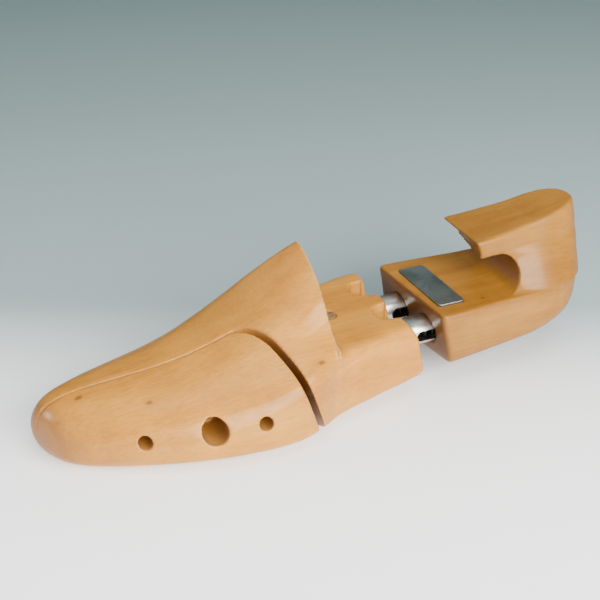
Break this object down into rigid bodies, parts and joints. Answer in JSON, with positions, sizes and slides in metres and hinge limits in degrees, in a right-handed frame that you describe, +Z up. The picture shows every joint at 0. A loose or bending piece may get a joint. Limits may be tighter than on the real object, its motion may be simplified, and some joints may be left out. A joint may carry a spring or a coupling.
{
  "type": "shoe tree",
  "caption": "Sprung wooden shoe tree for a left shoe, with a split toe wing, steel tubes into the waist block, and a heel block with a hooked handle and a blank plate.",
  "frame": {"origin": "bottom centre of the whole tree's box, on the ground under it", "axes": "+X from the toe to the heel, +Y towards the inner side of the foot, +Z up"},
  "size_m": [0.273, 0.0766, 0.0734],
  "materials": {
    "varnished_wood": "satin clear varnish over fine straight grain",
    "plug_wood": "end grain plugs, satin varnish",
    "nickel_tube": "polished nickel plate with fine drawn lines",
    "spring_steel": "bright steel wire and pins",
    "brushed_plate": "brushed grey steel, blank"
  },
  "bodies": {
    "forepart": {"forepart_body": "varnished_wood", "tube_outer": "nickel_tube", "tube_inner": "nickel_tube", "tube_screw_outer": "spring_steel", "tube_screw_inner": "spring_steel", "crest_foot_plug": "plug_wood", "spring_seat_outer": "spring_steel", "spring_seat_inner": "spring_steel", "thrust_spring_outer": "spring_steel", "thrust_spring_inner": "spring_steel", "wing_guide_pin_upper": "spring_steel", "wing_guide_pin_lower": "spring_steel", "wing_spring_upper": "spring_steel", "wing_spring_lower": "spring_steel"},
    "heel": {"heel_block": "varnished_wood", "heel_cross_pin": "spring_steel", "heel_pin_plug": "plug_wood", "name_plate": "brushed_plate", "plate_stud_outer": "spring_steel", "plate_stud_inner": "spring_steel", "spring_follower_outer": "spring_steel", "spring_follower_inner": "spring_steel"},
    "wing": {"toe_wing": "varnished_wood", "wing_retainer_upper": "spring_steel", "wing_retainer_lower": "spring_steel"}
  },
  "joints": [
    {"name": "heel_slide", "type": "slide", "parent": "forepart", "child": "heel", "axis": [-1, 0, 0], "range_m": [0, 0.0095], "stiffness_N_per_m": 2500, "springref_m": -0.006, "deforming": ["thrust_spring_outer", "thrust_spring_inner"]},
    {"name": "wing_slide", "type": "slide", "parent": "forepart", "child": "wing", "axis": [0.9954, -0.0959, 0], "range_m": [0, 0.0028], "stiffness_N_per_m": 1500, "springref_m": -0.003, "deforming": ["wing_spring_upper", "wing_spring_lower"]}
  ]
}
